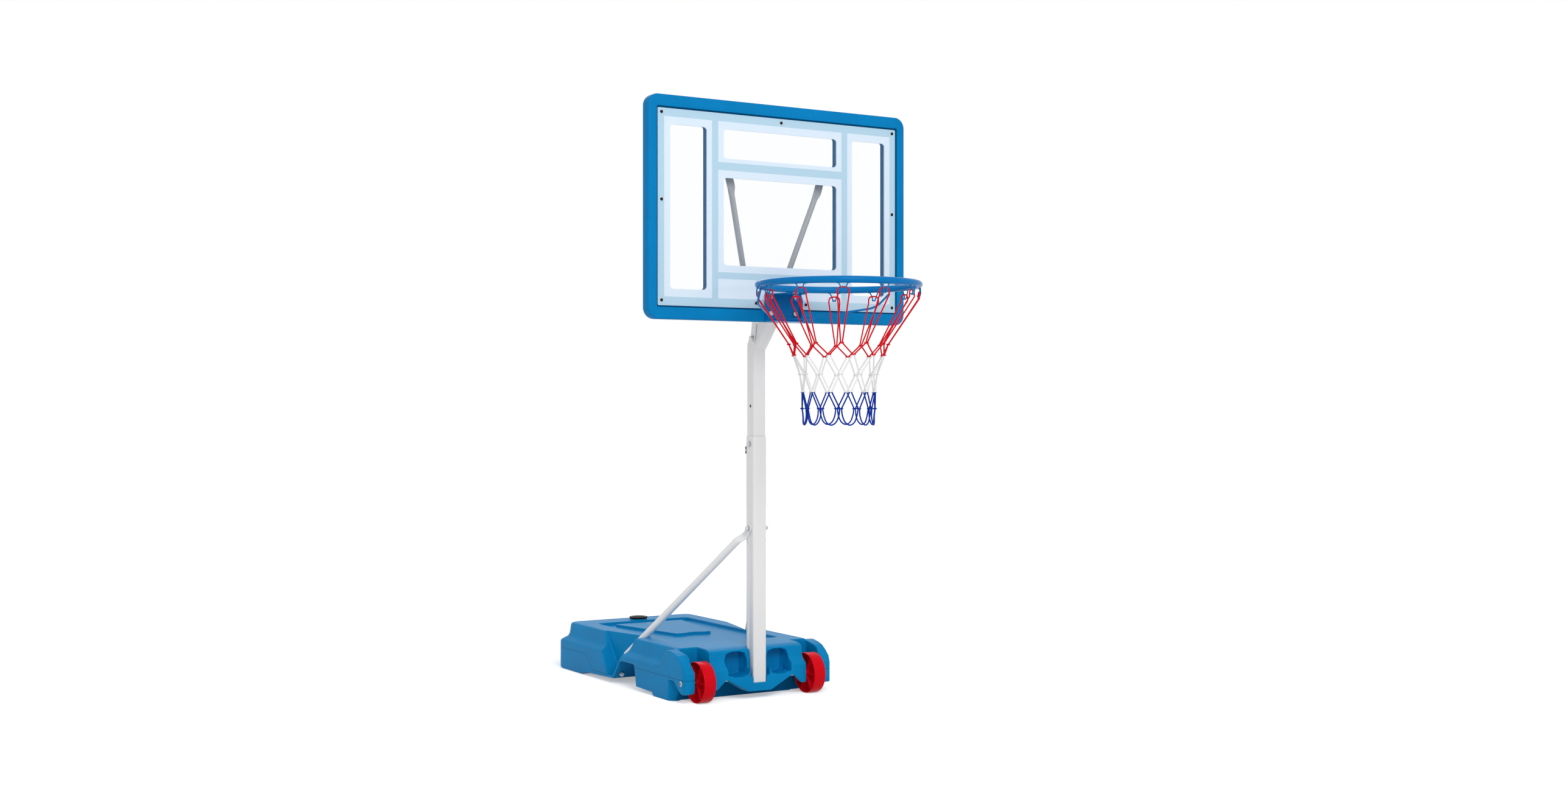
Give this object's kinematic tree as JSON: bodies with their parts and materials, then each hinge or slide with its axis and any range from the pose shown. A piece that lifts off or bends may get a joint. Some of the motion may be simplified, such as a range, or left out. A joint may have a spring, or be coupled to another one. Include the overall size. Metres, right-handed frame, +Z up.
{
  "type": "poolside basketball hoop",
  "caption": "Backboard with ring and knotted net on a height-adjustable pole, standing on a wheeled hollow base tank that is filled with water or sand.",
  "frame": {"origin": "on the floor, at the middle of the whole part's length and width", "axes": "+X across the board, to the right of someone who looks at its front; +Y from the board's front towards the rear of the base; +Z up"},
  "size_m": [0.813, 1.4468, 1.627],
  "materials": {
    "tank_blue": "satin",
    "board_blue": "satin",
    "rim_blue": "gloss",
    "pole_white": "satin",
    "wheel_red": "gloss",
    "clear_sheet": "gloss",
    "zinc_steel": "satin",
    "screw_black": "gloss",
    "knob_black": "satin",
    "seal_rubber": "matte",
    "net_cord": "matte"
  },
  "bodies": {
    "base": {"base_tank": "tank_blue", "lower_pole": "pole_white", "axle_rod": "zinc_steel", "axle_push_nut_left": "zinc_steel", "axle_push_nut_right": "zinc_steel", "strut_left": "pole_white", "strut_right": "pole_white", "strut_top_bolt": "zinc_steel", "strut_top_nut": "zinc_steel", "strut_foot_bolt_left": "zinc_steel", "strut_foot_bolt_right": "zinc_steel", "strut_foot_nut_left": "zinc_steel", "strut_foot_nut_right": "zinc_steel", "height_bolt": "zinc_steel"},
    "upper": {"upper_pole": "pole_white", "pole_glide_plug": "knob_black", "board_mount_plate": "pole_white", "backboard_frame": "board_blue", "clear_panel": "clear_sheet", "panel_screw_1": "screw_black", "panel_screw_2": "screw_black", "panel_screw_3": "screw_black", "panel_screw_4": "screw_black", "panel_screw_5": "screw_black", "panel_screw_6": "screw_black", "panel_screw_7": "screw_black", "panel_screw_8": "screw_black", "panel_screw_9": "screw_black", "elbow_bolt": "zinc_steel", "elbow_nut": "zinc_steel", "board_brace_left": "pole_white", "board_brace_right": "pole_white", "brace_screw_left": "zinc_steel", "brace_screw_right": "zinc_steel", "rim_ring": "rim_blue", "rim_bracket": "rim_blue", "rim_brace_rod": "rim_blue", "rim_bolt_1": "zinc_steel", "rim_bolt_2": "zinc_steel", "rim_bolt_3": "zinc_steel", "rim_bolt_4": "zinc_steel", "rim_nut_1": "zinc_steel", "rim_nut_2": "zinc_steel", "rim_nut_3": "zinc_steel", "rim_nut_4": "zinc_steel", "net": "net_cord"},
    "wheel_left": {"wheel_left": "wheel_red"},
    "wheel_right": {"wheel_right": "wheel_red"},
    "knob": {"clamp_knob": "knob_black"},
    "seal": {"cap_seal": "seal_rubber"},
    "cap": {"fill_cap": "knob_black"}
  },
  "joints": [
    {"name": "height_slide", "type": "slide", "parent": "base", "child": "upper", "axis": [0, 0, 1], "range_m": [-0.105, 0]},
    {"name": "wheel_left_turn", "type": "hinge", "parent": "base", "child": "wheel_left", "pos_m": [-0.176, -0.08825, 0.0565], "axis": [1, 0, 0], "continuous": true},
    {"name": "wheel_right_turn", "type": "hinge", "parent": "base", "child": "wheel_right", "pos_m": [0.176, -0.08825, 0.0565], "axis": [1, 0, 0], "continuous": true},
    {"name": "knob_turn", "type": "hinge", "parent": "base", "child": "knob", "pos_m": [0, -0.05625, 0.688], "axis": [0, 1, 0], "range_deg": [0, 720]},
    {"name": "cap_lift", "type": "slide", "parent": "base", "child": "seal", "axis": [0, 0, 1], "range_m": [0, 0.01]},
    {"name": "cap_turn", "type": "hinge", "parent": "seal", "child": "cap", "pos_m": [0, 0.63775, 0.15], "axis": [0, 0, 1], "range_deg": [0, 720]}
  ],
  "couplings": [
    {"joint": "cap_lift", "follows": "cap_turn", "m_per_rad": 0.00079577}
  ]
}
